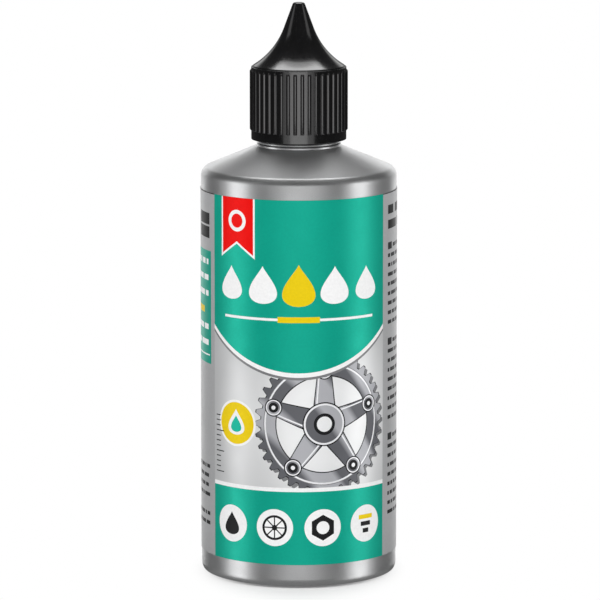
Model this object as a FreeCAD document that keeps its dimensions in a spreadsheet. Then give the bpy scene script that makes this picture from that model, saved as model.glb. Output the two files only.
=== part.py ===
import FreeCAD, Part
import math
import os
import Sketcher

# Squeeze bottle with a wrap-around label, a dropper insert pressed into its neck
# and a pointed screw cap. Z is the axis of the bottle, the base stands at z = 0
# and the front of the label faces -Y.

# Sizes in millimetres, and the count of ribs
SIZES = {
    # Bottle body
    "body_radius": 20.9,
    "body_height": 87.3,
    "body_wall": 1.0,
    "heel_rounding": 2.5,
    "recess_radius": 14.5,
    "recess_depth": 1.2,
    "recess_slope_width": 1.6,
    "rim_rounding": 2.2,
    # Shoulder and neck of the bottle
    "shoulder_rise": 5.0,
    "neck_base_radius": 9.0,
    "neck_groove_radius": 8.3,
    "neck_groove_height": 0.25,
    "bead_radius": 8.77,
    "bead_height": 0.55,
    "bead_slope": 0.15,
    "neck_radius": 7.8,
    "neck_wall": 1.3,
    "finish_height": 12.9,
    # Label
    "label_thickness": 0.1,
    "label_adhesive": 0.02,
    "label_foot": 5.2,
    "label_top_gap": 4.2,
    "label_seam": 1.2,
    # Dropper insert
    "flange_thickness": 1.2,
    "flange_inset": 0.2,
    "plug_clearance": 0.05,
    "plug_depth": 8.0,
    "plug_wall": 0.9,
    "spout_base_radius": 4.0,
    "spout_tip_radius": 1.3,
    "spout_bevel": 0.3,
    "spout_gap": 1.6,
    "orifice_radius": 0.6,
    # Skirt of the cap
    "thread_depth": 0.95,
    "thread_clearance": 0.25,
    "cap_wall": 1.18,
    "skirt_gap": 0.2,
    "skirt_bevel": 0.55,
    "seat_gap": 0.05,
    "band_height": 2.45,
    "rib_count": 42,
    "rib_width": 0.6,
    "rib_root": 0.2,
    "rib_height": 0.27,
    "rib_top_gap": 0.85,
    "rib_top_lead": 0.5,
    "rib_foot_lead": 0.3,
    # Lip and spire of the cap
    "crown_height": 2.05,
    "collar_drop": 0.45,
    "lip_inset": 0.28,
    "lip_height": 0.25,
    "lip_groove": 0.18,
    "spire_height": 13.55,
    "spire_tip_radius": 1.2,
    "spire_tip_bevel": 0.25,
    "waist_radius": 2.92,
    "waist_height": 8.48,
    "throat_radius": 6.4,
    "tip_thickness": 2.96,
    "cavity_top_radius": 1.1,
    "pin_radius": 0.45,
    "pin_length": 2.6,
}


class Size:
    """A length together with the sheet expression that drives it."""

    def __init__(self, value, text):
        self.value = float(value)
        self.text = text

    def __add__(self, other):
        other = as_size(other)
        return Size(self.value + other.value, f"({self.text} + {other.text})")

    def __sub__(self, other):
        other = as_size(other)
        return Size(self.value - other.value, f"({self.text} - {other.text})")

    def __mul__(self, other):
        other = as_size(other)
        return Size(self.value * other.value, f"({self.text} * {other.text})")

    def __truediv__(self, other):
        other = as_size(other)
        return Size(self.value / other.value, f"({self.text} / {other.text})")


def as_size(number):
    if isinstance(number, Size):
        return number
    return Size(number, str(number))


def root(size):
    return Size(math.sqrt(size.value), f"sqrt({size.text})")


doc = FreeCAD.newDocument("SqueezeBottle")
sheet = doc.addObject("Spreadsheet::Sheet", "Sizes")
for row, (word, number) in enumerate(SIZES.items(), start=1):
    sheet.set(f"A{row}", word)
    sheet.set(f"B{row}", str(number))
    sheet.setAlias(f"B{row}", word)
doc.recompute()


def size(word):
    return Size(SIZES[word], f"Sizes.{word}")


ZERO = as_size(0)

# Sketches


def origin_plane(body, role):
    for feature in body.Origin.OriginFeatures:
        if feature.Role == role:
            return feature
    raise RuntimeError(f"{body.Label} has no {role}")


def new_sketch(body, name, role):
    sketch = body.newObject("Sketcher::SketchObject", name)
    sketch.AttachmentSupport = [(origin_plane(body, role), "")]
    sketch.MapMode = "FlatFace"
    return sketch


def drive(sketch, constraint, length):
    number = sketch.addConstraint(constraint)
    sketch.setExpression(f"Constraints[{number}]", length.text)


def place(sketch, curve, end, corner):
    """Hold one end of a curve at a corner given from the sketch origin."""
    across, up = corner[:2]
    if across is ZERO:
        sketch.addConstraint(Sketcher.Constraint("PointOnObject", curve, end, -2))
    else:
        drive(sketch, Sketcher.Constraint("DistanceX", -1, 1, curve, end, across.value), across)
    if up is ZERO:
        sketch.addConstraint(Sketcher.Constraint("PointOnObject", curve, end, -1))
    else:
        drive(sketch, Sketcher.Constraint("DistanceY", -1, 1, curve, end, up.value), up)


def point(corner):
    return FreeCAD.Vector(corner[0].value, corner[1].value, 0)


def bent(start, end, radius, side):
    """Arc from start to end that bends to the left or the right, and its ends in that order."""
    chord = end - start
    half = chord.Length / 2
    leftward = FreeCAD.Vector(-chord.y, chord.x, 0).normalize()
    inward = leftward if side == "left" else leftward * -1
    centre = (start + end) * 0.5 + inward * math.sqrt(radius ** 2 - half ** 2)
    first, last = (start, end) if side == "left" else (end, start)
    low = math.atan2(first.y - centre.y, first.x - centre.x)
    high = math.atan2(last.y - centre.y, last.x - centre.x)
    if high < low:
        high += 2 * math.pi
    circle = Part.Circle(centre, FreeCAD.Vector(0, 0, 1), radius)
    ends = (1, 2) if side == "left" else (2, 1)
    return Part.ArcOfCircle(circle, low, high), ends


def closed_outline(sketch, corners):
    """Join corners of radius and height in order; a corner may add the arc that leaves it."""
    count = len(corners)
    ends = []
    for here, corner in enumerate(corners):
        start = point(corner)
        end = point(corners[(here + 1) % count])
        curve, curve_ends = Part.LineSegment(start, end), (1, 2)
        for radius, side in corner[2:]:
            curve, curve_ends = bent(start, end, radius.value, side)
        sketch.addGeometry(curve, False)
        ends.append(curve_ends)
    for here, corner in enumerate(corners):
        there = (here + 1) % count
        sketch.addConstraint(
            Sketcher.Constraint("Coincident", here, ends[here][1], there, ends[there][0])
        )
        place(sketch, here, ends[here][0], corner)
        for radius, side in corner[2:]:
            drive(sketch, Sketcher.Constraint("Radius", here, radius.value), radius)


# Features


def turn(body, kind, name, corners):
    """Revolve an outline of radius and height about Z, as material or as a cut."""
    sketch = new_sketch(body, f"{name}Outline", "XZ_Plane")
    closed_outline(sketch, corners)
    feature = body.newObject(kind, name)
    feature.Profile = sketch
    feature.ReferenceAxis = (sketch, ["V_Axis"])
    feature.Angle = 360
    body.Tip = feature
    doc.recompute()
    return feature


def add_turned(body, name, corners):
    turn(body, "PartDesign::Revolution", name, corners)


def cut_turned(body, name, corners):
    before = body.Tip.Shape.Volume
    feature = turn(body, "PartDesign::Groove", name, corners)
    if not feature.Shape.Volume < before:
        raise RuntimeError(f"{name} removes nothing")


def new_body(label):
    body = doc.addObject("PartDesign::Body", label)
    body.Label = label
    return body


# Heights above the base that more than one piece uses
body_radius = size("body_radius")
shoulder_z = size("body_height")
neck_base_z = shoulder_z + size("shoulder_rise")
bead_z = neck_base_z + size("neck_groove_height")
bead_top_z = bead_z + size("bead_height")
neck_top_z = bead_top_z + size("finish_height")
flange_top_z = neck_top_z + size("flange_thickness")
seat_z = flange_top_z + size("seat_gap")
lip_z = seat_z + size("crown_height")
tip_z = lip_z + size("spire_height")
cavity_top_z = tip_z - size("tip_thickness")

# Radii that more than one piece uses
neck_radius = size("neck_radius")
neck_bore = neck_radius - size("neck_wall")
flange_radius = neck_radius - size("flange_inset")

# Bottle: a blown shell that stands on a ring round a recessed base; below its rounding
# the heel slants down to that ring at 30 degrees
bottle = new_body("bottle")
recess_radius = size("recess_radius")
recess_inner = recess_radius - size("recess_slope_width")
recess_depth = size("recess_depth")
heel = size("heel_rounding")
heel_slant = root(as_size(3))
heel_foot_z = heel - heel * heel_slant / 2
heel_foot_radius = body_radius - heel / 2
neck_base_radius = size("neck_base_radius")
groove_radius = size("neck_groove_radius")
bead_radius = size("bead_radius")
bead_slope = size("bead_slope")
slope = size("shoulder_rise") / (body_radius - neck_base_radius)
slant = root(slope * slope + 1)
rim = size("rim_rounding")
rim_reach = rim * (slant - slope)
add_turned(bottle, "BottleSkin", [
    (ZERO, recess_depth),
    (recess_inner, recess_depth),
    (recess_radius, ZERO),
    (heel_foot_radius - heel_foot_z * heel_slant, ZERO),
    (heel_foot_radius, heel_foot_z, (heel, "left")),
    (body_radius, heel),
    (body_radius, shoulder_z - rim_reach, (rim, "left")),
    (body_radius - rim_reach / slant, shoulder_z + rim_reach * slope / slant),
    (neck_base_radius, neck_base_z),
    (groove_radius, neck_base_z),
    (groove_radius, bead_z),
    (bead_radius, bead_z + bead_slope),
    (bead_radius, bead_top_z - bead_slope),
    (neck_radius, bead_top_z),
    (neck_radius, neck_top_z),
    (ZERO, neck_top_z),
])

body_wall = size("body_wall")
inner_radius = body_radius - body_wall
floor_z = recess_depth + body_wall
inner_drop = body_wall * slant
inner_rim_z = shoulder_z + slope * body_wall - inner_drop
inner_neck_z = shoulder_z + slope * (body_radius - neck_bore) - inner_drop
cut_turned(bottle, "BottleHollow", [
    (ZERO, floor_z),
    (inner_radius, floor_z),
    (inner_radius, inner_rim_z),
    (neck_bore, inner_neck_z),
    (neck_bore, neck_top_z),
    (ZERO, neck_top_z),
])

# Label: a film wrapped round the body, with its seam at the back
label = new_body("label")
label_inner = body_radius + size("label_adhesive")
label_outer = label_inner + size("label_thickness")
label_top_z = shoulder_z - size("label_top_gap")
half_seam = size("label_seam") / 2
wrap = new_sketch(label, "LabelWrap", "XY_Plane")
wrap.AttachmentOffset = FreeCAD.Placement(
    FreeCAD.Vector(0, 0, SIZES["label_foot"]), FreeCAD.Rotation()
)
wrap.setExpression("AttachmentOffset.Base.z", "Sizes.label_foot")


def wrap_arc(radius):
    """Ring from the left side of the seam round the front to its right side."""
    half_angle = math.asin(half_seam.value / radius.value)
    circle = Part.Circle(FreeCAD.Vector(0, 0, 0), FreeCAD.Vector(0, 0, 1), radius.value)
    return Part.ArcOfCircle(circle, math.pi / 2 + half_angle, 2.5 * math.pi - half_angle)


def seam_end(radius, side):
    height = math.sqrt(radius.value ** 2 - half_seam.value ** 2)
    return FreeCAD.Vector(side * half_seam.value, height, 0)


inner_arc = wrap.addGeometry(wrap_arc(label_inner), False)
outer_arc = wrap.addGeometry(wrap_arc(label_outer), False)
for arc, radius in ((inner_arc, label_inner), (outer_arc, label_outer)):
    wrap.addConstraint(Sketcher.Constraint("Coincident", arc, 3, -1, 1))
    drive(wrap, Sketcher.Constraint("Radius", arc, radius.value), radius)
for arc_end, side in ((1, -1), (2, 1)):
    edge = wrap.addGeometry(
        Part.LineSegment(seam_end(label_inner, side), seam_end(label_outer, side)), False
    )
    wrap.addConstraint(Sketcher.Constraint("Coincident", edge, 1, inner_arc, arc_end))
    wrap.addConstraint(Sketcher.Constraint("Coincident", edge, 2, outer_arc, arc_end))
    wrap.addConstraint(Sketcher.Constraint("Vertical", edge))
    if side > 0:
        drive(wrap, Sketcher.Constraint("DistanceX", -1, 1, edge, 1, half_seam.value), half_seam)
    else:
        drive(wrap, Sketcher.Constraint("DistanceX", edge, 1, -1, 1, half_seam.value), half_seam)
film = label.newObject("PartDesign::Pad", "LabelFilm")
film.Profile = wrap
film.setExpression("Length", (label_top_z - size("label_foot")).text)
label.Tip = film
doc.recompute()

# Dropper insert: a plug in the neck bore, a flange on the neck rim and a drip spout
# with a narrow channel
insert = new_body("dropper_insert")
plug_radius = neck_bore - size("plug_clearance")
plug_inner = plug_radius - size("plug_wall")
plug_foot_z = neck_top_z - size("plug_depth")
spout_base_radius = size("spout_base_radius")
spout_tip_radius = size("spout_tip_radius")
spout_tip_z = cavity_top_z - size("spout_gap")
orifice_radius = size("orifice_radius")
spout_bevel = size("spout_bevel")
add_turned(insert, "InsertMoulding", [
    (plug_inner, plug_foot_z),
    (plug_radius, plug_foot_z),
    (plug_radius, neck_top_z),
    (flange_radius, neck_top_z),
    (flange_radius, flange_top_z),
    (spout_base_radius, flange_top_z),
    (spout_tip_radius, spout_tip_z - spout_bevel),
    (spout_tip_radius - spout_bevel, spout_tip_z),
    (orifice_radius, spout_tip_z),
    (orifice_radius, neck_top_z),
    (plug_inner, neck_top_z),
])

# Cap: a ribbed skirt, a lip with a groove under it, and a hollow flared spire
cap = new_body("cap")
cap_z = bead_top_z + size("skirt_gap")
cap_bore = neck_radius + size("thread_depth") + size("thread_clearance")
cap_radius = cap_bore + size("cap_wall")
lip_radius = cap_radius - size("lip_inset")
lip_groove_radius = lip_radius - size("lip_groove")
collar_z = lip_z - size("collar_drop")
spire_tip_radius = size("spire_tip_radius")
skirt_bevel = size("skirt_bevel")
tip_bevel = size("spire_tip_bevel")

# The spire is straight from its tip to the waist; the flare is the arc
# that goes on from there without a kink and ends at the lip
waist_radius = size("waist_radius")
waist_height = size("waist_height")
spire_run = waist_radius - spire_tip_radius
spire_fall = tip_z - tip_bevel - lip_z - waist_height
spire_length = root(spire_run * spire_run + spire_fall * spire_fall)
flare_run = lip_radius - waist_radius
flare_chord_squared = flare_run * flare_run + waist_height * waist_height
flare_offset = (flare_run * spire_fall - waist_height * spire_run) / spire_length
flare_rounding = flare_chord_squared / flare_offset / 2
add_turned(cap, "CapSkin", [
    (ZERO, cap_z),
    (cap_radius - skirt_bevel, cap_z),
    (cap_radius, cap_z + skirt_bevel),
    (cap_radius, collar_z),
    (lip_groove_radius, lip_z - size("lip_height")),
    (lip_radius, lip_z, (flare_rounding, "right")),
    (waist_radius, lip_z + waist_height),
    (spire_tip_radius, tip_z - tip_bevel),
    (spire_tip_radius - tip_bevel, tip_z),
    (ZERO, tip_z),
])

# Ribs of the skirt with slanted ends, one rib on the X axis and a gap at the front
crest_radius = cap_radius + size("rib_height")
rib_foot_z = cap_z + size("band_height")
rib_top_z = lip_z - size("rib_top_gap")
rib_root_radius = cap_radius - size("rib_root")
rib_sketch = new_sketch(cap, "RibSide", "XZ_Plane")
closed_outline(rib_sketch, [
    (rib_root_radius, rib_foot_z),
    (crest_radius, rib_foot_z + size("rib_foot_lead")),
    (crest_radius, rib_top_z - size("rib_top_lead")),
    (rib_root_radius, rib_top_z),
])
rib = cap.newObject("PartDesign::Pad", "Rib")
rib.Profile = rib_sketch
rib.SideType = "Symmetric"
rib.setExpression("Length", "Sizes.rib_width")
ribs = cap.newObject("PartDesign::PolarPattern", "Ribs")
ribs.Originals = [rib]
ribs.Axis = (rib_sketch, ["V_Axis"])
ribs.Angle = 360
ribs.setExpression("Occurrences", "Sizes.rib_count")
cap.Tip = ribs
doc.recompute()

# Hollow of the cap, with a seat over the flange and a pin for the spout
pin_radius = size("pin_radius")
pin_foot_z = cavity_top_z - size("pin_length")
cut_turned(cap, "CapHollow", [
    (ZERO, cap_z),
    (cap_bore, cap_z),
    (cap_bore, seat_z),
    (size("throat_radius"), seat_z),
    (size("cavity_top_radius"), cavity_top_z),
    (pin_radius, cavity_top_z),
    (pin_radius, pin_foot_z),
    (ZERO, pin_foot_z),
])

# Checks and files
doc.recompute()
for thing in doc.Objects:
    if "Invalid" in thing.State or "Error" in thing.State:
        raise RuntimeError(f"{thing.Name} failed: {thing.State}")
os.makedirs("parts", exist_ok=True)
for body in (bottle, label, insert, cap):
    shape = body.Shape
    if shape.isNull() or not shape.isValid() or len(shape.Solids) != 1:
        raise RuntimeError(f"{body.Label} is not one valid solid")
    shape.exportStep(f"parts/{body.Label}.step")
    box = shape.optimalBoundingBox()
    print(body.Label, round(shape.Volume, 1), round(box.ZMin, 3), round(box.ZMax, 3))
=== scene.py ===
import math
import random

import bmesh
import bpy
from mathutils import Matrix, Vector
from mathutils.geometry import delaunay_2d_cdt


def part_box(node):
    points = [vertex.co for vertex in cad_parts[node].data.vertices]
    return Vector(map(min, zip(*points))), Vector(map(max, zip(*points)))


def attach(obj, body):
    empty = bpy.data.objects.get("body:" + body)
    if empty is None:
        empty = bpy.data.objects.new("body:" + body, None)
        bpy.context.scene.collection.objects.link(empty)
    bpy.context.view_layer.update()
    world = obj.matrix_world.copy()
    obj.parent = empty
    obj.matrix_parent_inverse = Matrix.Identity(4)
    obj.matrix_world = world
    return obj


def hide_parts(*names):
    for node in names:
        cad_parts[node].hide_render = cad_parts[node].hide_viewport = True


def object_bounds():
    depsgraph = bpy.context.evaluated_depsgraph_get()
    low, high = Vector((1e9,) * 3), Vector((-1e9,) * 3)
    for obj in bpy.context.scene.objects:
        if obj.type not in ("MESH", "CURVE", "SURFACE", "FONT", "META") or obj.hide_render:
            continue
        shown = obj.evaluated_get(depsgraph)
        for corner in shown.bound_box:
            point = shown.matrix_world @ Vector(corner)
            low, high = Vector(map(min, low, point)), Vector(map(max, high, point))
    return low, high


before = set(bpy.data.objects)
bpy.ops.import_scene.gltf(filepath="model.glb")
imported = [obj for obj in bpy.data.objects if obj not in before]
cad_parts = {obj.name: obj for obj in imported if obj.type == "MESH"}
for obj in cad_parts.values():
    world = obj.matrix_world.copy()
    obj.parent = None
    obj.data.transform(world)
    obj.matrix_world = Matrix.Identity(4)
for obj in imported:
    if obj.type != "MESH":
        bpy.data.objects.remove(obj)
cad_low, cad_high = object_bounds()

# Looks of a squeeze bottle with a printed label, a dropper insert and a pointed screw cap.
# Lengths are in millimetres and become metres in the meshes.
MM = 0.001
CAD_MM = {node: [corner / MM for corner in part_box(node)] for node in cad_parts}

# Meshes: arcs are split by ARC_STEP, take at most STRAIGHT_SHARE of the straights beside them
# and put a supporting point on each straight, SUPPORT away from the arc
ARC_STEP = math.radians(9)
STRAIGHT_SHARE = 0.45
SUPPORT = 0.04
SAME_PLACE = 1e-6


def new_piece(name, vertices, faces, materials, body, slot, node=None):
    """A mesh piece in millimetres that rides on a body and may stand for a CAD node."""
    mesh = bpy.data.meshes.new(name)
    mesh.from_pydata([Vector(point) * MM for point in vertices], [], faces)
    for material in materials:
        mesh.materials.append(material)
    work = bmesh.new()
    work.from_mesh(mesh)
    bmesh.ops.recalc_face_normals(work, faces=work.faces)
    work.to_mesh(mesh)
    work.free()
    mesh.shade_smooth()
    piece = bpy.data.objects.new(name, mesh)
    bpy.context.scene.collection.objects.link(piece)
    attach(piece, body)
    if node:
        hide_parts(node)
    return piece


def rounded_corner(before, corner, after, rounding):
    """Arc that rounds a corner, with a supporting point on the straight at each end."""
    back = before - corner
    onward = after - corner
    turn = math.pi - back.angle(onward)
    if rounding == 0 or turn < ARC_STEP / 4:
        return [corner]
    shorter = min(back.length, onward.length)
    reach = min(rounding * math.tan(turn / 2), STRAIGHT_SHARE * shorter)
    radius = reach / math.tan(turn / 2)
    start = corner + back.normalized() * reach
    end = corner + onward.normalized() * reach
    inward = (back.normalized() + onward.normalized()).normalized()
    centre = corner + inward * radius / math.cos(turn / 2)
    first = start - centre
    swing = math.atan2(first.cross(end - centre), first.dot(end - centre))
    steps = max(2, math.ceil(turn / ARC_STEP))
    points = []
    for step in range(steps + 1):
        angle = swing * step / steps
        across = first.x * math.cos(angle) - first.y * math.sin(angle)
        up = first.x * math.sin(angle) + first.y * math.cos(angle)
        points.append(centre + Vector((across, up)))
    lead = start + back.normalized() * min(SUPPORT, reach / 4)
    tail = end + onward.normalized() * min(SUPPORT, reach / 4)
    return [lead, *points, tail]


def turned_outline(corners):
    """Outline of radius and height from corners given as radius, height and rounding."""
    points = [Vector(corner[:2]) for corner in corners]
    outline = [points[0]]
    for here in range(1, len(corners) - 1):
        outline += rounded_corner(points[here - 1], points[here], points[here + 1], corners[here][2])
    outline.append(points[-1])
    return outline


def hollow_arc(start, end, radius, steps):
    """Corners of an arc between two points that sags towards the axis."""
    start = Vector(start)
    end = Vector(end)
    chord = end - start
    outward = Vector((-chord.y, chord.x)).normalized()
    if outward.x < 0:
        outward = -outward
    centre = (start + end) / 2 + outward * math.sqrt(radius ** 2 - (chord.length / 2) ** 2)
    low = math.atan2(start.y - centre.y, start.x - centre.x) % math.tau
    high = math.atan2(end.y - centre.y, end.x - centre.x) % math.tau
    corners = []
    for step in range(1, steps):
        angle = low + (high - low) * step / steps
        corners.append((centre.x + radius * math.cos(angle), centre.y + radius * math.sin(angle), 0))
    return corners


def turned_mesh(outline, angles, swell=None):
    """Vertices and faces of an outline turned about Z; swell may change a radius at an angle."""
    vertices = []
    rings = []
    closed = (outline[0] - outline[-1]).length < SAME_PLACE
    for point in outline[:-1] if closed else outline:
        if point.x < SAME_PLACE:
            rings.append([len(vertices)])
            vertices.append((0, 0, point.y))
            continue
        rings.append(list(range(len(vertices), len(vertices) + len(angles))))
        for angle in angles:
            radius = swell(angle, point.x, point.y) if swell else point.x
            vertices.append((radius * math.cos(angle), radius * math.sin(angle), point.y))
    if closed:
        rings.append(rings[0])
    faces = []
    for lower, upper in zip(rings, rings[1:]):
        for here in range(len(angles)):
            there = (here + 1) % len(angles)
            if len(lower) == 1:
                faces.append((lower[0], upper[here], upper[there]))
            elif len(upper) == 1:
                faces.append((lower[here], upper[0], lower[there]))
            else:
                faces.append((lower[here], upper[here], upper[there], lower[there]))
    return vertices, faces


def even_angles(count):
    """Angles that split a full turn evenly."""
    return [math.tau * step / count for step in range(count)]


def quarter_turn(steps):
    """Angles from zero to a right angle."""
    return [math.radians(90 * step / steps) for step in range(steps + 1)]


# Materials: noise keeps mostly between NOISE_LOW and NOISE_HIGH
NOISE_LOW = 0.3
NOISE_HIGH = 0.7
INK_DARK = 0.96
INK_LIGHT = 1.03
# A diagonal wave texture turns ten times as fast as the sum of its coordinates
DIAGONAL_PHASE = 10


def new_material(name):
    """A material with its node tree and its shader."""
    material = bpy.data.materials.new(name)
    material.use_nodes = True
    shader = material.node_tree.nodes["Principled BSDF"]
    return material, material.node_tree, shader


def noise(tree, size_mm, detail, roughness=0.5):
    """Noise in object space with features of about the given size."""
    place = tree.nodes.new("ShaderNodeTexCoord")
    pattern = tree.nodes.new("ShaderNodeTexNoise")
    pattern.inputs["Scale"].default_value = 1 / (size_mm * MM)
    pattern.inputs["Detail"].default_value = detail
    pattern.inputs["Roughness"].default_value = roughness
    tree.links.new(place.outputs["Object"], pattern.inputs["Vector"])
    return pattern.outputs["Fac"]


def vary(tree, factor, low, high, socket):
    """Drive a number of the shader between two values."""
    spread = tree.nodes.new("ShaderNodeMapRange")
    spread.inputs["From Min"].default_value = NOISE_LOW
    spread.inputs["From Max"].default_value = NOISE_HIGH
    spread.inputs["To Min"].default_value = low
    spread.inputs["To Max"].default_value = high
    tree.links.new(factor, spread.inputs["Value"])
    tree.links.new(spread.outputs["Result"], socket)


def tint(tree, factor, dark, light, socket):
    """Drive a colour of the shader between two colours."""
    colours = tree.nodes.new("ShaderNodeValToRGB")
    first, last = colours.color_ramp.elements
    first.position = NOISE_LOW
    first.color = (*dark, 1)
    last.position = NOISE_HIGH
    last.color = (*light, 1)
    tree.links.new(factor, colours.inputs["Fac"])
    tree.links.new(colours.outputs["Color"], socket)


def bump(tree, shader, factor, height_mm, strength):
    """Give the shader a fine relief."""
    relief = tree.nodes.new("ShaderNodeBump")
    relief.inputs["Distance"].default_value = height_mm * MM
    relief.inputs["Strength"].default_value = strength
    tree.links.new(factor, relief.inputs["Height"])
    tree.links.new(relief.outputs["Normal"], shader.inputs["Normal"])


def scaled(colour, amount):
    """A colour made darker or lighter."""
    return tuple(channel * amount for channel in colour)


def silver_plastic():
    """Polyethylene with silver pigment: a soft metallic sheen with fine flakes."""
    material, tree, shader = new_material("silver_plastic")
    shader.inputs["Metallic"].default_value = 0.92
    shader.inputs["Specular IOR Level"].default_value = 0.5
    flakes = noise(tree, size_mm=0.12, detail=2, roughness=0.7)
    cloud = noise(tree, size_mm=4.0, detail=3)
    grain = noise(tree, size_mm=0.25, detail=3)
    tint(tree, flakes, (0.50, 0.505, 0.51), (0.60, 0.605, 0.61), shader.inputs["Base Color"])
    vary(tree, cloud, 0.34, 0.40, shader.inputs["Roughness"])
    bump(tree, shader, grain, height_mm=0.004, strength=0.35)
    return material


def black_plastic():
    """Moulded black polypropylene with a satin gloss."""
    material, tree, shader = new_material("black_plastic")
    shader.inputs["Specular IOR Level"].default_value = 1.0
    shader.inputs["Coat Weight"].default_value = 1.0
    shader.inputs["Coat Roughness"].default_value = 0.14
    mottle = noise(tree, size_mm=1.5, detail=4)
    cloud = noise(tree, size_mm=0.8, detail=4)
    grain = noise(tree, size_mm=0.4, detail=2)
    tint(tree, mottle, (0.002, 0.002, 0.0022), (0.004, 0.004, 0.0044), shader.inputs["Base Color"])
    vary(tree, cloud, 0.17, 0.23, shader.inputs["Roughness"])
    bump(tree, shader, grain, height_mm=0.001, strength=0.15)
    return material


def natural_plastic():
    """Milky polyethylene that lets a little light through."""
    material, tree, shader = new_material("natural_plastic")
    shader.inputs["Subsurface Weight"].default_value = 0.35
    shader.inputs["Subsurface Radius"].default_value = (1.0, 0.95, 0.85)
    shader.inputs["Subsurface Scale"].default_value = 1.2 * MM
    mottle = noise(tree, size_mm=2.5, detail=3)
    cloud = noise(tree, size_mm=1.0, detail=3)
    grain = noise(tree, size_mm=0.2, detail=2)
    tint(tree, mottle, (0.74, 0.74, 0.69), (0.80, 0.80, 0.76), shader.inputs["Base Color"])
    vary(tree, cloud, 0.36, 0.44, shader.inputs["Roughness"])
    bump(tree, shader, grain, height_mm=0.003, strength=0.3)
    return material


def printed_film(name, colour, metallic=0.3, gloss=0.12):
    """Label film in one ink, with faint mottle in the ink and a soft gloss."""
    material, tree, shader = new_material(name)
    shader.inputs["Metallic"].default_value = metallic
    shader.inputs["Specular IOR Level"].default_value = gloss
    mottle = noise(tree, size_mm=0.5, detail=3)
    cloud = noise(tree, size_mm=3.0, detail=3)
    grain = noise(tree, size_mm=0.35, detail=2)
    tint(tree, mottle, scaled(colour, INK_DARK), scaled(colour, INK_LIGHT), shader.inputs["Base Color"])
    vary(tree, cloud, 0.38, 0.46, shader.inputs["Roughness"])
    bump(tree, shader, grain, height_mm=0.002, strength=0.3)
    return material


def halo_film(name, near_colour, far_colour, centre, near, far):
    """Label film whose ink fades from one colour round a point to another further out."""
    material = printed_film(name, near_colour)
    tree = material.node_tree
    shader = tree.nodes["Principled BSDF"]
    place = tree.nodes.new("ShaderNodeTexCoord")
    span = tree.nodes.new("ShaderNodeVectorMath")
    span.operation = "DISTANCE"
    span.inputs[1].default_value = Vector(centre) * MM
    tree.links.new(place.outputs["Object"], span.inputs[0])
    fade = tree.nodes.new("ShaderNodeMapRange")
    fade.inputs["From Min"].default_value = near * MM
    fade.inputs["From Max"].default_value = far * MM
    fade.inputs["To Min"].default_value = NOISE_LOW
    fade.inputs["To Max"].default_value = NOISE_HIGH
    tree.links.new(span.outputs["Value"], fade.inputs["Value"])
    tint(tree, fade.outputs["Result"], near_colour, far_colour, shader.inputs["Base Color"])
    return material


def sheen_film(name, dark, light, band_mm):
    """Label film printed as polished metal, with slanting light and dark bands."""
    material = printed_film(name, light)
    tree = material.node_tree
    shader = tree.nodes["Principled BSDF"]
    place = tree.nodes.new("ShaderNodeTexCoord")
    bands = tree.nodes.new("ShaderNodeTexWave")
    bands.bands_direction = "DIAGONAL"
    bands.inputs["Scale"].default_value = math.tau / (DIAGONAL_PHASE * band_mm * MM)
    bands.inputs["Distortion"].default_value = 1.5
    bands.inputs["Detail"].default_value = 0
    tree.links.new(place.outputs["Object"], bands.inputs["Vector"])
    tint(tree, bands.outputs["Fac"], dark, light, shader.inputs["Base Color"])
    return material


silver = silver_plastic()
black = black_plastic()
natural = natural_plastic()

# Bottle: the turned shell of the CAD solid with its moulded edges rounded
BODY_RADIUS = CAD_MM["bottle"][1].x
NECK_TOP_Z = CAD_MM["bottle"][1].z
RECESS_RADIUS = 12.9
RECESS_Z = 1.2
FOOT_RING_RADIUS = 14.5
HEEL_FOOT_RADIUS = 17.6
HEEL_INSET = 0.42
HEEL_RISE = 0.49
HEEL_TAPER_Z = 1.5
SHOULDER_Z = 87.28
SHOULDER_DROP = 0.60
CREASE_INSET = 0.858
CREASE_RISE = 0.353
NECK_BASE_Z = 92.3
NECK_BASE_RADIUS = 9.0
STEP_RISE = 0.36
CHAMFER_RADIUS = 8.942
CHAMFER_RISE = 0.429
NECK_GROOVE_RADIUS = 8.15
NECK_GROOVE_RISE = 0.445
BEAD_FOOT_Z = NECK_BASE_Z + 0.5
BEAD_RADIUS = 8.77
BEAD_SLANT = 0.03
BEAD_RISE = 0.60
BEAD_END = 0.65
NECK_RADIUS = 7.8
NECK_BORE = 6.5
BORE_FOOT_Z = 92.32
INNER_RADIUS = 19.9
INNER_SHOULDER_Z = 86.64
INNER_FLOOR_Z = 2.2
BOTTLE_SIDES = 192
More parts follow.
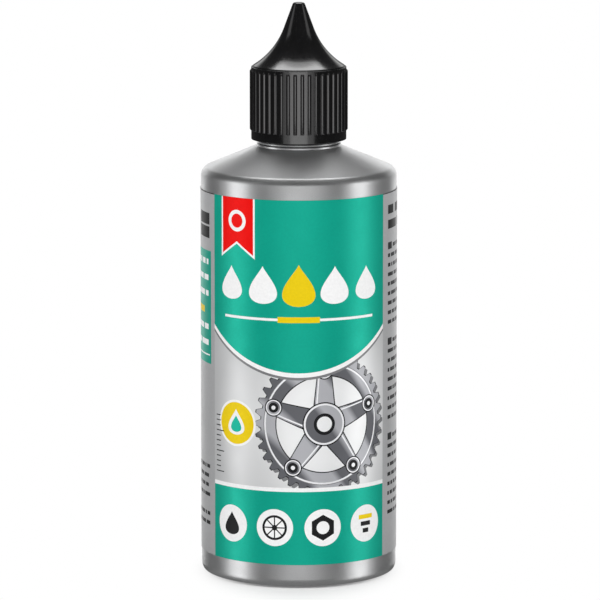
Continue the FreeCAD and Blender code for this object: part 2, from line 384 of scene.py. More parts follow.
bottle_corners = [
    (0, RECESS_Z, 0),
    (RECESS_RADIUS, RECESS_Z, 1.0),
    (FOOT_RING_RADIUS, 0, 0.6),
    (HEEL_FOOT_RADIUS, 0, 0.4),
    (BODY_RADIUS - HEEL_INSET, HEEL_RISE, 0.8),
    (BODY_RADIUS, HEEL_TAPER_Z, 3.0),
    (BODY_RADIUS, SHOULDER_Z - SHOULDER_DROP, 2.4),
    (BODY_RADIUS - CREASE_INSET, SHOULDER_Z + CREASE_RISE, 1.6),
    (NECK_BASE_RADIUS, NECK_BASE_Z, 0.08),
    (NECK_BASE_RADIUS, NECK_BASE_Z + STEP_RISE, 0.03),
    (CHAMFER_RADIUS, NECK_BASE_Z + CHAMFER_RISE, 0.03),
    (NECK_GROOVE_RADIUS, NECK_BASE_Z + NECK_GROOVE_RISE, 0.06),
    (NECK_GROOVE_RADIUS, BEAD_FOOT_Z, 0.06),
    (BEAD_RADIUS, BEAD_FOOT_Z + BEAD_SLANT, 0.27),
    (BEAD_RADIUS, BEAD_FOOT_Z + BEAD_RISE, 0.27),
    (NECK_RADIUS, BEAD_FOOT_Z + BEAD_END, 0.15),
    (NECK_RADIUS, NECK_TOP_Z, 0.25),
    (NECK_BORE, NECK_TOP_Z, 0.15),
    (NECK_BORE, BORE_FOOT_Z, 0.8),
    (INNER_RADIUS, INNER_SHOULDER_Z, 1.2),
    (INNER_RADIUS, INNER_FLOOR_Z, 1.5),
    (0, INNER_FLOOR_Z, 0),
]
bottle_mesh = turned_mesh(turned_outline(bottle_corners), even_angles(BOTTLE_SIDES))
bottle_shell = new_piece("bottle_shell", *bottle_mesh, [silver], "bottle", "silver_plastic", "bottle")

# Dropper insert: a hollow plug, a flange on the neck and a spout; its outline starts inside the plug
PLUG_FOOT_Z, SPOUT_TIP_Z = (corner.z for corner in CAD_MM["dropper_insert"])
PLUG_START_Z = PLUG_FOOT_Z + 3
PLUG_BORE = 5.55
PLUG_RADIUS = 6.45
FLANGE_RADIUS = 7.6
FLANGE_TOP_Z = 107.2
SPOUT_FOOT_RADIUS = 4.0
SPOUT_TIP_RADIUS = 1.3
DRIP_RADIUS = 0.6
INSERT_SIDES = 96
insert_corners = [
    (PLUG_BORE, PLUG_START_Z, 0),
    (PLUG_BORE, PLUG_FOOT_Z, 0.3),
    (PLUG_RADIUS, PLUG_FOOT_Z, 0.4),
    (PLUG_RADIUS, NECK_TOP_Z, 0.1),
    (FLANGE_RADIUS, NECK_TOP_Z, 0.12),
    (FLANGE_RADIUS, FLANGE_TOP_Z, 0.3),
    (SPOUT_FOOT_RADIUS, FLANGE_TOP_Z, 0.6),
    (SPOUT_TIP_RADIUS, SPOUT_TIP_Z, 0.35),
    (DRIP_RADIUS, SPOUT_TIP_Z, 0.12),
    (DRIP_RADIUS, NECK_TOP_Z, 0.3),
    (PLUG_BORE, NECK_TOP_Z, 0.5),
    (PLUG_BORE, PLUG_START_Z, 0),
]
insert_mesh = turned_mesh(turned_outline(insert_corners), even_angles(INSERT_SIDES))
insert_moulding = new_piece(
    "insert_moulding", *insert_mesh, [natural], "bottle", "natural_plastic", "dropper_insert"
)

# Cap: a skirt with half-round ribs, a lip over a groove and a flared spire
CAP_TIP_Z = CAD_MM["cap"][1].z
CAP_FOOT_Z = CAD_MM["cap"][0].z + 0.35
CAP_RADIUS = 10.14
CAP_BORE = 9.0
SEAT_Z = 107.25
LIP_Z = 109.39
LIP_RADIUS = 9.77
LIP_HEIGHT = 0.06
GROOVE_RADIUS = 9.6
GROOVE_DROP = 0.22
COLLAR_DROP = 0.24
TIP_RADIUS = 1.2
TIP_DOME = 0.06
WAIST = (3.13, LIP_Z + 8.16)
FLARE_ROUNDING = 15.8
FLARE_STEPS = 20
THROAT_RADIUS = 6.4
CAVITY_TOP_RADIUS = 1.1
CAVITY_TOP_Z = CAP_TIP_Z - 2.96
PIN_RADIUS = 0.45
PIN_FOOT_Z = CAVITY_TOP_Z - 2.6
SKIN_TOLERANCE = 1e-4

# Ribs: a section that is part of a circle, a round top and a short round foot
RIB_COUNT = 42
RIB_FOOT_Z = CAP_FOOT_Z + 2.0
RIB_TOP_Z = LIP_Z - 0.84
RIB_HEIGHT = 0.31
RIB_HALF_WIDTH = 0.40
RIB_ROUNDING = (RIB_HALF_WIDTH ** 2 + RIB_HEIGHT ** 2) / (2 * RIB_HEIGHT)
RIB_HALF_TURN = math.asin(RIB_HALF_WIDTH / RIB_ROUNDING)
RIB_FOOT_LEAD = 0.15
RIB_STEPS = 4
RIB_FOOT_STEPS = 5
RIB_TOP_STEPS = 6
# Places between two ribs that have a row of points, as shares of the pitch
VALLEY_MIDDLE = -0.499
VALLEY_SIDE = 0.28


def rib_swell(angle, radius, z):
    """Radius of the skirt where a half-round rib with a round top and a short foot crosses it."""
    if radius < CAP_RADIUS - SKIN_TOLERANCE or not RIB_FOOT_Z < z < RIB_TOP_Z:
        return radius
    pitch = math.tau / RIB_COUNT
    across = (angle / pitch - round(angle / pitch)) * pitch * radius
    above = max(0, z - (RIB_TOP_Z - RIB_HALF_WIDTH))
    inside = max(0, RIB_ROUNDING ** 2 - across ** 2 - above ** 2)
    height = max(0, math.sqrt(inside) - RIB_ROUNDING + RIB_HEIGHT)
    foot = min(1, (z - RIB_FOOT_Z) / RIB_FOOT_LEAD)
    return radius + height * math.sqrt(1 - (1 - foot) ** 2)


rib_pitch = math.tau * CAP_RADIUS / RIB_COUNT
rib_places = [VALLEY_MIDDLE, -VALLEY_SIDE, VALLEY_SIDE]
for step in range(-RIB_STEPS, RIB_STEPS + 1):
    rib_places.append(RIB_ROUNDING * math.sin(RIB_HALF_TURN * step / RIB_STEPS) / rib_pitch)
cap_angles = []
for rib in range(RIB_COUNT):
    cap_angles += [math.tau * (rib + place) / RIB_COUNT for place in rib_places]
cap_angles.sort(key=lambda angle: angle % math.tau)
rib_rows = [RIB_FOOT_Z - SUPPORT]
for angle in quarter_turn(RIB_FOOT_STEPS):
    rib_rows.append(RIB_FOOT_Z + RIB_FOOT_LEAD * (1 - math.cos(angle)))
for angle in quarter_turn(RIB_TOP_STEPS):
    rib_rows.append(RIB_TOP_Z - RIB_HALF_WIDTH * (1 - math.sin(angle)))
rib_rows.append(RIB_TOP_Z + SUPPORT)
cap_corners = [
    (0, CAP_TIP_Z, 0),
    (TIP_RADIUS, CAP_TIP_Z - TIP_DOME, 0.5),
    (*WAIST, 0),
    *hollow_arc(WAIST, (LIP_RADIUS, LIP_Z), FLARE_ROUNDING, FLARE_STEPS),
    (LIP_RADIUS, LIP_Z, 0.03),
    (GROOVE_RADIUS, LIP_Z - LIP_HEIGHT, 0.02),
    (GROOVE_RADIUS, LIP_Z - GROOVE_DROP, 0.05),
    (CAP_RADIUS, LIP_Z - COLLAR_DROP, 0.10),
    *((CAP_RADIUS, z, 0) for z in reversed(rib_rows)),
    (CAP_RADIUS, CAP_FOOT_Z, 0.12),
    (CAP_BORE, CAP_FOOT_Z, 0.3),
    (CAP_BORE, SEAT_Z, 0.3),
    (THROAT_RADIUS, SEAT_Z, 0.3),
    (CAVITY_TOP_RADIUS, CAVITY_TOP_Z, 0.3),
    (PIN_RADIUS, CAVITY_TOP_Z, 0.1),
    (PIN_RADIUS, PIN_FOOT_Z, 0.15),
    (0, PIN_FOOT_Z, 0),
]
cap_mesh = turned_mesh(turned_outline(cap_corners), cap_angles, rib_swell)
cap_shell = new_piece("cap_shell", *cap_mesh, [black], "cap", "black_plastic", "cap")

# Threads of the neck and the cap, which are sunk into the wall that carries them
THREAD_PITCH = 3.18
THREAD_SINK = 0.1
THREAD_SIDES = 72
THREAD_RUN_OUT = 14
THREAD_END = 0.02


def thread(name, material, body, slot, root, crest, foot_z, turns, half_root, half_crest):
    """Ridge of a screw thread that runs out at both ends."""
    steps = round(turns * THREAD_SIDES)
    vertices = []
    for step in range(steps + 1):
        angle = math.tau * step / THREAD_SIDES
        grown = min(1, step / THREAD_RUN_OUT, (steps - step) / THREAD_RUN_OUT)
        grown = max(THREAD_END, math.sin(grown * math.pi / 2))
        middle = foot_z + THREAD_PITCH * step / THREAD_SIDES
        top = root + (crest - root) * grown
        section = ((root, -half_root), (top, -half_crest), (top, half_crest), (root, half_root))
        for radius, rise in section:
            point = (radius * math.cos(angle), radius * math.sin(angle), middle + rise * grown)
            vertices.append(point)
    corners = len(section)
    last = corners * steps
    faces = [tuple(range(corners)), tuple(range(last, last + corners))]
    for step in range(steps):
        for side in range(corners):
            a = corners * step + side
            b = corners * step + (side + 1) % corners
            faces.append((a, b, b + corners, a + corners))
    return new_piece(name, vertices, faces, [material], body, slot)


neck_thread = thread(
    "neck_thread", silver, "bottle", "silver_plastic",
    root=NECK_RADIUS - THREAD_SINK, crest=8.65, foot_z=97.6, turns=1.5, half_root=0.8, half_crest=0.3,
)
cap_thread = thread(
    "cap_thread", black, "cap", "black_plastic",
    root=CAP_BORE + THREAD_SINK, crest=8.1, foot_z=97.2, turns=2.2, half_root=0.7, half_crest=0.25,
)

# Label: a printed film on the body. Its print is drawn flat, across the front and up,
# as fields of ink that are then wrapped round the bottle.
LABEL_RADIUS = CAD_MM["label"][1].x
LABEL_FOOT = CAD_MM["label"][0].z
LABEL_TOP = CAD_MM["label"][1].z + 0.2
LABEL_INNER = BODY_RADIUS + 0.02
SEAM_HALF_WIDTH = 0.6
LABEL_SIDE = LABEL_RADIUS * (math.pi - math.asin(SEAM_HALF_WIDTH / LABEL_RADIUS))
PANEL_SIDE = 21.35
print_fields = []


def ink(colour, points):
    """Lay a field of ink over what is there; its points may run either way round."""
    turn = sum(a[0] * b[1] - b[0] * a[1] for a, b in zip(points, points[1:] + points[:1]))
    print_fields.append((colour, points if turn > 0 else points[::-1]))


def box_field(colour, left, foot, right, top):
    """A field with straight upright sides."""
    ink(colour, [(left, foot), (right, foot), (right, top), (left, top)])


def disc(colour, across, up, radius, count=40):
    """A round field."""
    points = []
    for angle in even_angles(count):
        points.append((across + radius * math.cos(angle), up + radius * math.sin(angle)))
    ink(colour, points)


def stacked_discs(layers, across, up, radius, count):
    """Discs one over another, given as inks and shares of a radius."""
    for colour, share in layers:
        disc(colour, across, up, radius * share, count)


DROP_STEPS = 48
DROP_WIDTH = 0.57
DROP_TAPER = 1.6


def drop(colour, across, up, height):
    """A drop that stands on its round end."""
    points = []
    for angle in even_angles(DROP_STEPS):
        width = DROP_WIDTH * math.sin(angle) * math.sin(angle / 2) ** DROP_TAPER
        points.append((across + height * width, up + height / 2 * math.cos(angle)))
    ink(colour, points)


# Curved lower edge of the upper field: its lowest height, and how far it rises to the sides
EDGE_LOW = 46.5
EDGE_RISE = 9.0
EDGE_STEPS = 24


def edge_line(offset):
    """Points along the curved edge, from left to right, moved up by an offset."""
    points = []
    for step in range(2 * EDGE_STEPS + 1):
        across = PANEL_SIDE * (step / EDGE_STEPS - 1)
        points.append((across, EDGE_LOW + EDGE_RISE * (across / PANEL_SIDE) ** 2 + offset))
    return points


def edge_band(colour, low, high):
    """Band that follows the curved edge between two offsets."""
    ink(colour, edge_line(low) + edge_line(high)[::-1])


# Teeth of the chain wheel: a cosine wave that is made steeper and cut off at its root and crest
TOOTH_DEPTH = 0.045
TOOTH_SLOPE = 1.6
TOOTH_ROOT = -0.7
TOOTH_CREST = 0.75
TOOTH_STEPS = 8
# The shadow of the wheel is moved right and down by these lengths
WHEEL_SHADOW_RIGHT = 0.7
WHEEL_SHADOW_DOWN = 0.6
# Border, rings, arms and bolts of the wheel, as shares of its radius
WHEEL_BORDER = 1.014
RIM_RINGS = (
    ("shade_ink", 0.875),
    ("gleam_ink", 0.865),
    ("steel_ink", 0.84),
    ("dark_ink", 0.70),
    ("pale_ink", 0.685),
)
ARM_ROOT = 0.2
ARM_END = 0.76
ARM_TAPER = 0.63
ARM_LAYERS = (
    ("dark_ink", 0.168, -0.168),
    ("steel_ink", 0.15, -0.15),
    ("gleam_ink", 0.13, 0.105),
)
BOLT_CIRCLE = 0.765
BOLT_RINGS = (
    ("dark_ink", 0.128),
    ("gleam_ink", 0.112),
    ("steel_ink", 0.095),
    ("dark_ink", 0.072),
    ("gleam_ink", 0.03),
)
HUB_RINGS = (
    ("dark_ink", 0.315),
    ("gleam_ink", 0.297),
    ("steel_ink", 0.27),
    ("dark_ink", 0.155),
    ("pale_ink", 0.11),
)


def wheel_arm(across, up, radius, turn):
    """One tapered arm, drawn in layers of ink."""
    along = Vector((math.cos(turn), math.sin(turn)))
    aside = Vector((-along.y, along.x))
    near = along * ARM_ROOT
    far = along * ARM_END
    for colour, left, right in ARM_LAYERS:
        corners = (
            near + aside * left,
            far + aside * left * ARM_TAPER,
            far + aside * right * ARM_TAPER,
            near + aside * right,
        )
        ink(colour, [(across + radius * corner.x, up + radius * corner.y) for corner in corners])


def chain_wheel(across, up, radius, teeth, arms):
    """A toothed wheel with arms, seen from the side."""
    outline = []
    for angle in even_angles(teeth * TOOTH_STEPS):
        wave = max(TOOTH_ROOT, min(TOOTH_CREST, TOOTH_SLOPE * math.cos(teeth * angle)))
        reach = radius * (1 - TOOTH_DEPTH + TOOTH_DEPTH * wave / TOOTH_CREST)
        outline.append((across + reach * math.cos(angle), up + reach * math.sin(angle)))
    shadow = [(a + WHEEL_SHADOW_RIGHT, z - WHEEL_SHADOW_DOWN) for a, z in outline]
    border = [(across + (a - across) * WHEEL_BORDER, up + (z - up) * WHEEL_BORDER) for a, z in outline]
    ink("shade_ink", shadow)
    ink("dark_ink", border)
    ink("steel_ink", outline)
    stacked_discs(RIM_RINGS, across, up, radius, count=72)
    turns = [math.radians(90) + math.tau * arm / arms for arm in range(arms)]
    for turn in turns:
        wheel_arm(across, up, radius, turn)
    for turn in turns:
        bolt_across = across + radius * BOLT_CIRCLE * math.cos(turn)
        bolt_up = up + radius * BOLT_CIRCLE * math.sin(turn)
        stacked_discs(BOLT_RINGS, bolt_across, bolt_up, radius, count=32)
    stacked_discs(HUB_RINGS, across, up, radius, count=48)


# Rows of bars: a short row is a share of the full length, the lengths of the bars and the gaps
# between them are shares of the row's height, and a bar starts only where it has LEAST_ROOM
ROWS_IN_GROUP = 5
SHORT_ROW = (0.35, 0.7)
BAR_LENGTHS = (0.9, 4.2)
BAR_GAP = 0.6
LEAST_ROOM = 0.6


def ruled_lines(colour, left, right, top, rows, spacing, height, seed):
    """Rows of short bars, the last row of each group cut short."""
    draw = random.Random(seed)
    for row in range(rows):
        foot = top - spacing * row - height
        at = left
        end = right
        if row % ROWS_IN_GROUP == ROWS_IN_GROUP - 1:
            end = left + (right - left) * draw.uniform(*SHORT_ROW)
        while at < end - LEAST_ROOM:
            length = min(height * draw.uniform(*BAR_LENGTHS), end - at)
            box_field(colour, at, foot, at + length, foot + height)
            at += length + BAR_GAP * height


# Ground of the label, side strips and front panel
BAND_TOP = 21.1
BAND_LINE = 0.75
EDGE_LINE = 0.95
EDGE_SHADE = 1.5
LAP = 0.1
PALE_TOP = 60
STRIP_LINE = 0.16
STRIP_LINE_END = 48
WHEEL_PLACE = (5.5, 35.5)
box_field("grey_ink", -LABEL_SIDE, LABEL_FOOT, LABEL_SIDE, LABEL_TOP)
# A thin dark line runs along the top edge of each side strip
for side in (-1, 1):
    box_field("dark_ink", side * PANEL_SIDE, LABEL_TOP - STRIP_LINE, side * STRIP_LINE_END, LABEL_TOP)
box_field("pale_ink", -PANEL_SIDE, BAND_TOP, PANEL_SIDE, PALE_TOP)
chain_wheel(*WHEEL_PLACE, radius=15.0, teeth=36, arms=5)
edge_band("shade_ink", -EDGE_SHADE, LAP)
edge_band("white_ink", -EDGE_LINE, LAP)
ink("teal_ink", [(-PANEL_SIDE, LABEL_TOP), (PANEL_SIDE, LABEL_TOP), *edge_line(0)[::-1]])
box_field("teal_ink", -PANEL_SIDE, LABEL_FOOT, PANEL_SIDE, BAND_TOP)
box_field("white_ink", -PANEL_SIDE, BAND_TOP - LAP, PANEL_SIDE, BAND_TOP + BAND_LINE)

# Upper field: a row of drops over a rule, and a pennant at the left
DROP_PITCH = 7.8
DROP_ROW_Z = 65.2
DROP_HEIGHT = 9.0
DROP_LOSS = 0.9
PENNANT_PLACE = -14.1
BADGE_Z = 78.4


def pennant(colour, half_width, tail, notch):
    """A flag that hangs from the label's top, with a notch in its lower end."""
    left = PENNANT_PLACE - half_width
    right = PENNANT_PLACE + half_width
    ink(colour, [(left, LABEL_TOP), (left, tail), (PENNANT_PLACE, notch), (right, tail), (right, LABEL_TOP)])


for place in range(-2, 3):
    drop_ink = "yellow_ink" if place == 0 else "white_ink"
    drop(drop_ink, DROP_PITCH * place, DROP_ROW_Z, DROP_HEIGHT - abs(place) * DROP_LOSS)
box_field("white_ink", left=-17.5, foot=57.6, right=17.5, top=58.15)
box_field("yellow_ink", left=-4.5, foot=57.25, right=4.5, top=58.5)
pennant("white_ink", half_width=4.5, tail=70.45, notch=73.5)
pennant("red_ink", half_width=4.1, tail=71.2, notch=74.0)
disc("white_ink", PENNANT_PLACE, BADGE_Z, radius=2.3)
disc("red_ink", PENNANT_PLACE, BADGE_Z, radius=1.5)

# Middle field: a yellow roundel and a scale of short strokes
ROUNDEL_PLACE = -14.4
ROUNDEL_Z = 35.0
SCALE_LEFT = -20.6
SCALE_FOOT = 24.0
SCALE_PITCH = 1.1
SCALE_MARKS = 12
MARKS_PER_LONG = 4
LONG_MARK = 2.6
SHORT_MARK = 1.5
MARK_HALF = 0.11
disc("white_ink", ROUNDEL_PLACE, ROUNDEL_Z, radius=5.0, count=56)
disc("yellow_ink", ROUNDEL_PLACE, ROUNDEL_Z, radius=4.5, count=56)
drop("white_ink", ROUNDEL_PLACE, ROUNDEL_Z + 0.3, height=5.6)
drop("teal_ink", ROUNDEL_PLACE, ROUNDEL_Z - 0.1, height=3.6)
for mark in range(SCALE_MARKS):
    mark_z = SCALE_FOOT + SCALE_PITCH * mark
    reach = LONG_MARK if mark % MARKS_PER_LONG == 0 else SHORT_MARK
    box_field("dark_ink", SCALE_LEFT, mark_z - MARK_HALF, SCALE_LEFT + reach, mark_z + MARK_HALF)

# Lower band: a row of white discs with plain signs
SIGN_RADIUS = 4.0
SIGN_Z = 13.2
SIGN_PITCH = 10.4
SIGN_COUNT = 4
SPOKE_BARS = 4
SPOKE_REACH = 2.4
SPOKE_HALF_WIDTH = 0.13


def wheel_sign(across, up):
    """A spoked wheel: a rim, bars across it and a hub."""
    disc("dark_ink", across, up, radius=2.7)
    disc("white_ink", across, up, radius=2.2)
    for bar in range(SPOKE_BARS):
        angle = math.pi / SPOKE_BARS * bar
        along = Vector((math.cos(angle), math.sin(angle))) * SPOKE_REACH
        aside = Vector((-along.y, along.x)).normalized() * SPOKE_HALF_WIDTH
        ends = (along + aside, along - aside, -along - aside, -along + aside)
        ink("dark_ink", [(across + end.x, up + end.y) for end in ends])
    disc("dark_ink", across, up, radius=0.6, count=20)


def nut_sign(across, up, radius, bore):
    """A hexagon nut with a round bore."""
    corners = [math.radians(30 + 60 * corner) for corner in range(6)]
    ink("dark_ink", [(across + radius * math.cos(a), up + radius * math.sin(a)) for a in corners])
    disc("white_ink", across, up, bore, 32)


def bars_sign(across, foot, lengths, spacing, height):
    """Bars one above another, the top one in yellow."""
    for bar, length in enumerate(lengths):
        colour = "yellow_ink" if bar == len(lengths) - 1 else "dark_ink"
        low = foot + spacing * bar
        box_field(colour, across - length / 2, low, across + length / 2, low + height)


signs = [(place - (SIGN_COUNT - 1) / 2) * SIGN_PITCH for place in range(SIGN_COUNT)]
for across in signs:
    disc("white_ink", across, SIGN_Z, SIGN_RADIUS, 48)
drop("dark_ink", signs[0], SIGN_Z + 0.1, height=5.0)
wheel_sign(signs[1], SIGN_Z)
nut_sign(signs[2], SIGN_Z, radius=2.8, bore=1.4)
bars_sign(signs[3], SIGN_Z - 2.0, lengths=(1.6, 2.7, 3.8), spacing=1.5, height=0.95)

# Right strip: two rows of heavy bars and three groups of fine ones, each with a block at its start
STRIP_START = 23.6
STRIP_END = 46
HEAVY_END = STRIP_END - 4
HEAVY_ROWS = {"spacing": 3.2, "height": 1.9}
FINE_ROWS = {"spacing": 2.05, "height": 0.8}
GROUP_TOP = 72.6
GROUP_PITCH = 20.6
FIRST_ROW_DROP = 0.35
NEXT_ROW_DROP = 2.4
BLOCK_END = STRIP_START + 2.2
BLOCK_HEIGHT = 1.5
FIRST_ROW_START = BLOCK_END + 0.6
ruled_lines("dark_ink", STRIP_START, HEAVY_END, top=80.6, rows=2, **HEAVY_ROWS, seed=3)
for group in range(3):
    top = GROUP_TOP - GROUP_PITCH * group
    first = top - FIRST_ROW_DROP
    others = top - NEXT_ROW_DROP
    box_field("dark_ink", STRIP_START, top - BLOCK_HEIGHT, BLOCK_END, top)
    ruled_lines("dark_ink", FIRST_ROW_START, STRIP_END, first, rows=1, **FINE_ROWS, seed=11 + group)
    ruled_lines("dark_ink", STRIP_START, STRIP_END, others, rows=8, **FINE_ROWS, seed=21 + group)

# Left strip: two dark bars, a small panel with rows of bars, and fine rows at its foot
SIDE_PANEL_START = -STRIP_END + 1.5
SIDE_PANEL_END = -24.2
SIDE_PANEL_ROWS = {"spacing": 3.4, "height": 1.2}
YELLOW_END = -25.5
YELLOW_ROW = {"spacing": 3.0, "height": 1.4}
DARK_BAR_PITCH = 2.9
for row in range(2):
    bar_drop = DARK_BAR_PITCH * row
    box_field("dark_ink", left=-30, foot=76.4 - bar_drop, right=-STRIP_START, top=78.9 - bar_drop)
box_field("teal_ink", left=-STRIP_END, foot=46.5, right=-22.9, top=70.8)
ruled_lines("white_ink", SIDE_PANEL_START, SIDE_PANEL_END, top=69.0, rows=3, **SIDE_PANEL_ROWS, seed=31)
ruled_lines("yellow_ink", SIDE_PANEL_START, YELLOW_END, top=58.6, rows=1, **YELLOW_ROW, seed=37)
ruled_lines("white_ink", SIDE_PANEL_START, SIDE_PANEL_END, top=55.0, rows=2, **SIDE_PANEL_ROWS, seed=41)
box_field("white_ink", SIDE_PANEL_START, foot=48.2, right=-STRIP_START, top=48.5)
ruled_lines("dark_ink", -STRIP_END, -STRIP_START, top=24.6, rows=7, **FINE_ROWS, seed=43)

# Inks of the label; the first one also covers its back and its edges
HALO_CENTRE = (WHEEL_PLACE[0], -LABEL_RADIUS, WHEEL_PLACE[1])
INKS = {
    "grey_ink": printed_film("grey_ink", (0.48, 0.483, 0.49), metallic=0.35),
    "pale_ink": halo_film(
        "pale_ink", (0.89, 0.895, 0.90), (0.55, 0.555, 0.56), HALO_CENTRE, near=8, far=25
    ),
    "teal_ink": printed_film("teal_ink", (0.001, 0.42, 0.30), metallic=0.45, gloss=0.35),
    "white_ink": printed_film("white_ink", (0.86, 0.86, 0.86), metallic=0.0),
    "red_ink": printed_film("red_ink", (0.80, 0.002, 0.001), metallic=0.1),
    "yellow_ink": printed_film("yellow_ink", (0.80, 0.58, 0.006), metallic=0.1),
    "dark_ink": printed_film("dark_ink", (0.012, 0.012, 0.013), metallic=0.0),
    "steel_ink": sheen_film("steel_ink", (0.13, 0.132, 0.145), (0.46, 0.463, 0.49), band_mm=17),
    "shade_ink": printed_film("shade_ink", (0.22, 0.223, 0.23)),
    "gleam_ink": printed_film("gleam_ink", (0.88, 0.88, 0.90)),
}
INK_ORDER = list(INKS)
CUT_PITCH = 1.0
INSIDE_TRIANGLES = 1
MERGE_DISTANCE = 1e-5


def label_print():
    """Triangles of the flat print, split where inks meet and along the bend of the film."""
    points = []
    faces = []
    for _, outline in print_fields:
        faces.append(list(range(len(points), len(points) + len(outline))))
        points += outline
    cuts = []
    last_cut = int(LABEL_SIDE / CUT_PITCH)
    for step in range(-last_cut, last_cut + 1):
        cuts.append((len(points), len(points) + 1))
        points += [(step * CUT_PITCH, LABEL_FOOT), (step * CUT_PITCH, LABEL_TOP)]
    corners = [Vector(point) for point in points]
    flat = delaunay_2d_cdt(corners, cuts, faces, INSIDE_TRIANGLES, MERGE_DISTANCE)
    flat_points, _, flat_triangles, _, _, field_lists = flat
    inks = [INK_ORDER.index(print_fields[max(fields)][0]) for fields in field_lists]
    return flat_points, flat_triangles, inks


def wrap(across, up, radius):
    """Place of a point of the flat print on the round film."""
    angle = across / LABEL_RADIUS
    return radius * math.sin(angle), -radius * math.cos(angle), up


flat_points, triangles, triangle_inks = label_print()
count = len(flat_points)
label_vertices = [wrap(point.x, point.y, LABEL_RADIUS) for point in flat_points]
label_vertices += [wrap(point.x, point.y, LABEL_INNER) for point in flat_points]
label_faces = [tuple(triangle) for triangle in triangles]
label_faces += [tuple(count + corner for corner in reversed(triangle)) for triangle in triangles]
face_inks = triangle_inks + [0] * len(triangles)

# An edge that no other triangle uses is on the rim of the film and gets a face across its thickness
edge_uses = {}
for triangle in triangles:
    for a, b in zip(triangle, triangle[1:] + triangle[:1]):
        edge_uses[(a, b)] = True
for a, b in edge_uses:
    if (b, a) not in edge_uses:
        label_faces.append((b, a, a + count, b + count))
        face_inks.append(0)
label = new_piece(
    "label_film", label_vertices, label_faces, INKS.values(), "bottle", "printed_film", "label"
)
for face, colour in zip(label.data.polygons, face_inks):
    face.material_index = colour

# Normals straight out, and straight in on the back, shade the film as a true cylinder
radial = [Vector((vertex.co.x, vertex.co.y, 0)).normalized() for vertex in label.data.vertices]
label.data.normals_split_custom_set_from_vertices(
    [way if place < count else -way for place, way in enumerate(radial)]
)

# Floor: white, with the shadow of the bottle in its middle
FLOOR_RADIUS = 38
FLOOR_SIDES = 96
SHADOW_SHARE = 0.9
SHADOW_START = 0.9 * BODY_RADIUS
SHADOW_STRETCH = 1.6


def combine(tree, operation, first, second):
    """Output of a sum, product or larger of two driven numbers."""
    node = tree.nodes.new("ShaderNodeMath")
    node.operation = operation
    tree.links.new(first, node.inputs[0])
    tree.links.new(second, node.inputs[1])
    return node.outputs["Value"]


def ramp(tree, value, start, end, low, high):
    """A driven number that goes smoothly from low to high between start and end."""
    node = tree.nodes.new("ShaderNodeMapRange")
    node.interpolation_type = "SMOOTHSTEP"
    node.inputs["From Min"].default_value = start
    node.inputs["From Max"].default_value = end
    node.inputs["To Min"].default_value = low
    node.inputs["To Max"].default_value = high
    tree.links.new(value, node.inputs["Value"])
    return node.outputs["Result"]


def floor_material():
    """White floor that shows the contact shadow and fades into white, soonest at the sides."""
    material, tree, shader = new_material("floor_white")
    shader.inputs["Base Color"].default_value = (0.72, 0.72, 0.72, 1)
    shader.inputs["Roughness"].default_value = 0.9
    shader.inputs["Specular IOR Level"].default_value = 0.0
    place = tree.nodes.new("ShaderNodeTexCoord")
    stretch = tree.nodes.new("ShaderNodeVectorMath")
    stretch.operation = "MULTIPLY"
    stretch.inputs[1].default_value = (SHADOW_STRETCH, 1, 1)
    tree.links.new(place.outputs["Object"], stretch.inputs[0])
    span = tree.nodes.new("ShaderNodeVectorMath")
    span.operation = "LENGTH"
    tree.links.new(stretch.outputs["Vector"], span.inputs[0])
    path = tree.nodes.new("ShaderNodeLightPath")
    seen = combine(tree, "ADD", path.outputs["Is Camera Ray"], path.outputs["Is Transmission Ray"])
    glow = tree.nodes.new("ShaderNodeEmission")
    tree.links.new(seen, glow.inputs["Strength"])
    shade = ramp(tree, span.outputs["Value"], SHADOW_START * MM, FLOOR_RADIUS * MM, SHADOW_SHARE, 0)
    mix = tree.nodes.new("ShaderNodeMixShader")
    tree.links.new(shade, mix.inputs["Fac"])
    tree.links.new(glow.outputs["Emission"], mix.inputs[1])
    tree.links.new(shader.outputs["BSDF"], mix.inputs[2])
    tree.links.new(mix.outputs["Shader"], tree.nodes["Material Output"].inputs["Surface"])
    return material


floor_mesh = bpy.data.meshes.new("floor")
floor_points = [
    Vector((FLOOR_RADIUS * math.cos(angle), FLOOR_RADIUS * math.sin(angle), 0)) * MM
    for angle in even_angles(FLOOR_SIDES)
]
floor_mesh.from_pydata(floor_points, [], [tuple(range(FLOOR_SIDES))])
floor_mesh.materials.append(floor_material())
floor = bpy.data.objects.new("floor", floor_mesh)
bpy.context.scene.collection.objects.link(floor)
floor.visible_glossy = False

# Lamps: each has a name, an azimuth and elevation in degrees, a distance, a width and a height
# in metres, and a radiance
OBJECT_MIDDLE = Vector((0, 0, (cad_low.z + cad_high.z) / 2))


def direction(azimuth, elevation):
    """Unit vector from the object; azimuth 0 is the front and 90 the right."""
    a = math.radians(azimuth)
    e = math.radians(elevation)
    return Vector((math.sin(a) * math.cos(e), -math.cos(a) * math.cos(e), math.sin(e)))


def softbox(name, azimuth, elevation, distance, width, height, radiance, shape="RECTANGLE"):
    """Area lamp that faces the object."""
    lamp = bpy.data.lights.new(name, "AREA")
    lamp.shape = shape
    lamp.size = width
    lamp.size_y = height
    area = width * height * (math.pi / 4 if shape == "ELLIPSE" else 1)
    lamp.energy = radiance * math.pi * area
    box = bpy.data.objects.new(name, lamp)
    box.location = OBJECT_MIDDLE + direction(azimuth, elevation) * distance
    box.rotation_mode = "QUATERNION"
    box.rotation_quaternion = direction(azimuth, elevation).to_track_quat("Z", "Y")
    box.visible_camera = False
    bpy.context.scene.collection.objects.link(box)
    return box


def softbox_pair(name, azimuth, *settings):
    """Two lamps alike, at the left and at the right."""
    left = softbox(f"{name}_left", -azimuth, *settings)
    right = softbox(f"{name}_right", azimuth, *settings)
    return [left, right]


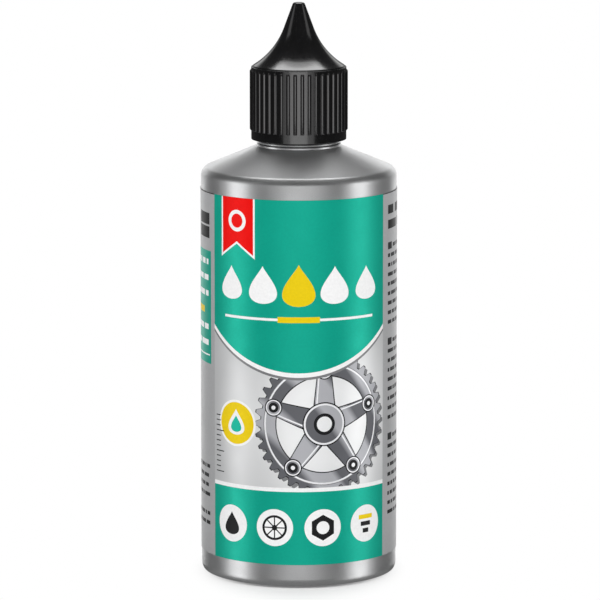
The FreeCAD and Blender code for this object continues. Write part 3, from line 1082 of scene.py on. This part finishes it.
def light_only(name, pieces, lamps):
    """Flag lamps off from everything but some pieces."""
    receivers = bpy.data.collections.new(name)
    for piece in pieces:
        receivers.objects.link(piece)
    for lamp in lamps:
        lamp.light_linking.receiver_collection = receivers


softbox("front_fill_core", 0, -2.5, 0.80, 0.58, 0.48, 0.57)
softbox("front_fill_wide", 0, -2.5, 0.86, 1.30, 0.52, 0.49)
softbox_pair("spire_strip", 78, 27, 0.7, 0.26, 0.30, 0.42)

# Soft keys that light the print evenly and leave no gleam
for key in softbox_pair("soft_key", 44, 38, 0.9, 0.8, 0.8, 3.4):
    key.visible_glossy = False

# Lamps that are flagged off from the bottle or from the cap
light_only("cap_lamps", [cap_shell, cap_thread], [
    softbox("cap_top_box", 180, 72.5, 0.70, 0.64, 0.42, 1.8, "ELLIPSE"),
    softbox("cap_back_box", 180, 66, 0.76, 0.56, 0.32, 1.3),
    softbox("cap_front_fill", 0, -2.5, 0.92, 0.70, 0.52, 0.14),
])
light_only("bottle_lamps", [bottle_shell, neck_thread, insert_moulding, label, floor], [
    softbox("shoulder_top_box", 180, 72, 0.72, 0.58, 0.34, 2.35),
    *softbox_pair("side_strip", 76, -8, 0.7, 0.30, 0.62, 2.3),
    *softbox_pair("side_fill", 124, -8, 0.8, 0.56, 0.62, 0.09),
    softbox("back_panel", 180, 1, 0.9, 1.40, 0.60, 1.4),
])

# Room round the object: its parts are bounded by coordinates of the direction they are seen in
AMBIENT = 0.035
FLOOR_GLEAM = 0.2
FLOOR_TOP = (-0.45, -0.25)
SWEEP_COSINE = math.cos(math.radians(30))
SWEEP_SOFTNESS = 0.08
SWEEP_SIDE = (SWEEP_COSINE - SWEEP_SOFTNESS, SWEEP_COSINE + SWEEP_SOFTNESS)
SWEEP_FOOT = (0.09, 0.27)
SWEEP_TOP = (0.38, 0.70)
SWEEP_LEVEL = 0.80


def studio_world():
    """White to the camera; for reflections a dim room, with a white sweep behind and a pale floor."""
    world = bpy.data.worlds.new("studio")
    bpy.context.scene.world = world
    world.use_nodes = True
    tree = world.node_tree
    room = tree.nodes["Background"]
    room.inputs["Color"].default_value = (AMBIENT, AMBIENT, AMBIENT, 1)
    white = tree.nodes.new("ShaderNodeBackground")
    white.inputs["Color"].default_value = (1, 1, 1, 1)
    place = tree.nodes.new("ShaderNodeTexCoord")
    parts = tree.nodes.new("ShaderNodeSeparateXYZ")
    tree.links.new(place.outputs["Generated"], parts.inputs["Vector"])
    side = ramp(tree, parts.outputs["Y"], *SWEEP_SIDE, 0, 1)
    foot = ramp(tree, parts.outputs["Z"], *SWEEP_FOOT, 0, 1)
    top = ramp(tree, parts.outputs["Z"], *SWEEP_TOP, SWEEP_LEVEL, 0)
    sweep = combine(tree, "MULTIPLY", combine(tree, "MULTIPLY", side, foot), top)
    gleam = ramp(tree, parts.outputs["Z"], *FLOOR_TOP, FLOOR_GLEAM, 0)
    around = combine(tree, "MAXIMUM", sweep, gleam)
    path = tree.nodes.new("ShaderNodeLightPath")
    mirrored = combine(tree, "ADD", path.outputs["Is Glossy Ray"], path.outputs["Is Transmission Ray"])
    mirrored = combine(tree, "MULTIPLY", mirrored, around)
    share = combine(tree, "MAXIMUM", mirrored, path.outputs["Is Camera Ray"])
    mix = tree.nodes.new("ShaderNodeMixShader")
    tree.links.new(share, mix.inputs["Fac"])
    tree.links.new(room.outputs["Background"], mix.inputs[1])
    tree.links.new(white.outputs["Background"], mix.inputs[2])
    tree.links.new(mix.outputs["Shader"], tree.nodes["World Output"].inputs["Surface"])


studio_world()

# Camera
CAMERA_DISTANCE = 1113.4
CAMERA_ELEVATION = 9.36
CAMERA_AIM = Vector((0.26, 0, 58.74))
CAMERA_LENS = 311.64
SENSOR_WIDTH = 36
camera_data = bpy.data.cameras.new("camera")
camera_data.sensor_width = SENSOR_WIDTH
camera_data.lens = CAMERA_LENS
camera_data.clip_start = 0.05
camera_data.clip_end = 20
camera = bpy.data.objects.new("camera", camera_data)
camera.location = (CAMERA_AIM + direction(0, CAMERA_ELEVATION) * CAMERA_DISTANCE) * MM
camera.rotation_mode = "QUATERNION"
camera.rotation_quaternion = direction(0, CAMERA_ELEVATION).to_track_quat("Z", "Y")
bpy.context.scene.collection.objects.link(camera)
bpy.context.scene.camera = camera
bpy.context.scene.view_settings.view_transform = "Standard"
